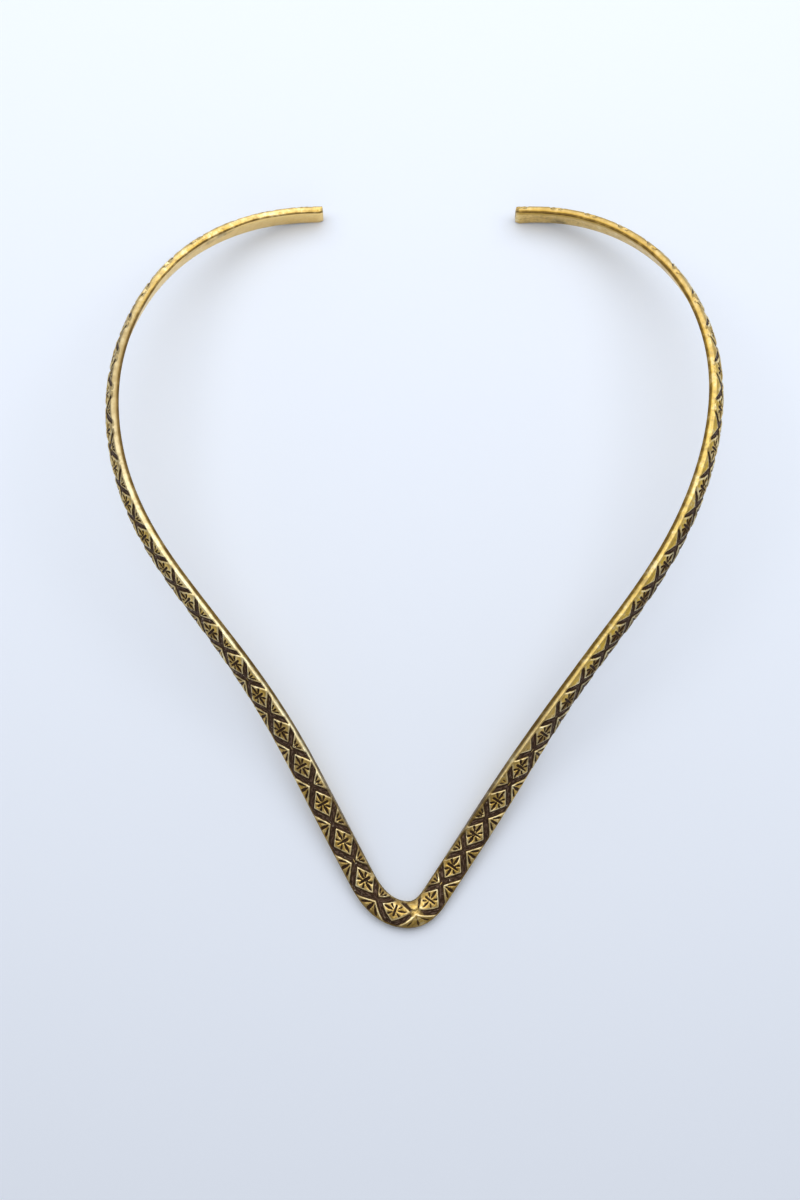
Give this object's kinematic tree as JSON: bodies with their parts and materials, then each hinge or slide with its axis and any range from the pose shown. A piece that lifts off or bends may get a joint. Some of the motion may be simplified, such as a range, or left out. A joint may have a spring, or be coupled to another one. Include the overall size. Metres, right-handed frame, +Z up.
{
  "type": "open torc collar",
  "caption": "Rigid open neck collar bent from one strip of antiqued, pattern-stamped metal, with a pointed V front and twisted legs.",
  "frame": {"origin": "centre of the outline, on the surface the collar lies on", "axes": "+Z up, +Y towards the open back, -Y towards the pointed nose, +X towards the arm on the right when the nose points at the viewer"},
  "size_m": [0.142, 0.1738, 0.0211],
  "materials": {
    "antique_brass": "antiqued: polished high spots and margins, dark patina in the recesses"
  },
  "bodies": {
    "root": {"torc_band": "antique_brass"}
  },
  "joints": []
}
